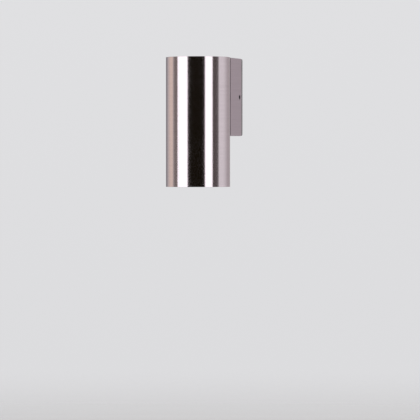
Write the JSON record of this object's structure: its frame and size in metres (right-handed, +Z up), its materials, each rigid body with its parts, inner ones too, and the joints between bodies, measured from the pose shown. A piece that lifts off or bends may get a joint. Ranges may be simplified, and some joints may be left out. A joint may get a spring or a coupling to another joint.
{
  "type": "tube wall light",
  "caption": "Round brushed-steel tube on a folded back box, a wall light that shines down through a screwed front glass.",
  "frame": {"origin": "on the wall plane, in the middle of the wall bracket and of the back box", "axes": "+Z up along the tube, +X to the right seen from the room, +Y into the wall"},
  "size_m": [0.06, 0.08, 0.121],
  "materials": {
    "brushed_tube": "stainless steel brushed round the tube",
    "brushed_cap": "stainless steel, brushed one way",
    "brushed_box": "stainless steel brushed along the sheet",
    "black_rubber": "matt black moulded rubber",
    "grey_foam": "closed-cell sealing foam, mid grey",
    "zinc_plated": "bright zinc plate",
    "zinc_sheet": "zinc-plated pressed sheet",
    "white_nylon": "natural nylon",
    "plated_brass": "nickel-flashed brass",
    "tinned_brass": "tinned brass",
    "white_ceramic": "unglazed steatite",
    "brown_silicone": "silicone sleeve, brown",
    "blue_silicone": "silicone sleeve, blue",
    "green_yellow_sheath": "sheath, green and yellow",
    "turned_steel": "turned stainless steel",
    "clear_glass": "clear toughened glass with ground edge",
    "white_silicone": "translucent white silicone",
    "lamp_shell": "satin silver-white lamp shell",
    "lamp_base_plastic": "white thermoplastic",
    "nickel_pins": "nickel-plated brass",
    "led_board_white": "aluminium board with white solder mask",
    "led_phosphor": "light-emitting phosphor",
    "clear_acrylic": "clear moulded acrylic",
    "circuit_board": "populated circuit board",
    "black_oxide": "black-oxide steel"
  },
  "bodies": {
    "housing": {"tube_body": "brushed_tube", "top_cap": "brushed_cap", "back_box": "brushed_box", "saddle_gasket": "black_rubber", "wall_gasket": "grey_foam", "bolt_washers": "zinc_plated", "housing_bolts": "zinc_plated", "rivet_nut": "zinc_plated", "wall_bracket": "zinc_sheet", "wall_grommet": "black_rubber", "terminal_block": "white_nylon", "terminal_clamps": "plated_brass", "terminal_screws": "zinc_plated", "terminal_block_screws": "zinc_plated", "earth_tags": "tinned_brass", "earth_screw": "zinc_plated", "through_grommet": "black_rubber", "lampholder_bracket": "zinc_sheet", "lampholder_body": "white_ceramic", "lampholder_lid": "white_ceramic", "lampholder_screws": "zinc_plated", "lampholder_contacts": "plated_brass", "live_wire": "brown_silicone", "neutral_wire": "blue_silicone", "earth_wires": "green_yellow_sheath", "thread_collar": "turned_steel"},
    "glass_unit": {"front_glass": "clear_glass", "glass_gasket": "white_silicone"},
    "retaining_ring": {"retaining_ring": "turned_steel"},
    "lamp": {"lamp_housing": "lamp_shell", "lamp_base": "lamp_base_plastic", "lamp_pins": "nickel_pins", "led_board": "led_board_white", "led_chips": "led_phosphor", "lamp_lens": "clear_acrylic", "lamp_driver": "circuit_board"},
    "side_screw_left": {"side_screw_left": "black_oxide"},
    "side_screw_right": {"side_screw_right": "black_oxide"}
  },
  "joints": [
    {"name": "glass_drop", "type": "slide", "parent": "housing", "child": "glass_unit", "axis": [0, 0, -1], "range_m": [0, 0.0061]},
    {"name": "retaining_ring_turn", "type": "hinge", "parent": "glass_unit", "child": "retaining_ring", "pos_m": [0, -0.05, -0.08], "axis": [0, 0, -1], "range_deg": [0, 2160]},
    {"name": "lamp_twist", "type": "hinge", "parent": "housing", "child": "lamp", "pos_m": [0, -0.05, -0.045], "axis": [0, 0, -1], "range_deg": [0, 25]},
    {"name": "side_screw_left_travel", "type": "slide", "parent": "housing", "child": "side_screw_left", "axis": [1, 0, 0], "range_m": [0, 0.002]},
    {"name": "side_screw_right_travel", "type": "slide", "parent": "housing", "child": "side_screw_right", "axis": [-1, 0, 0], "range_m": [0, 0.002]}
  ],
  "couplings": [
    {"joint": "glass_drop", "follows": "retaining_ring_turn", "m_per_rad": 0.00015915}
  ]
}
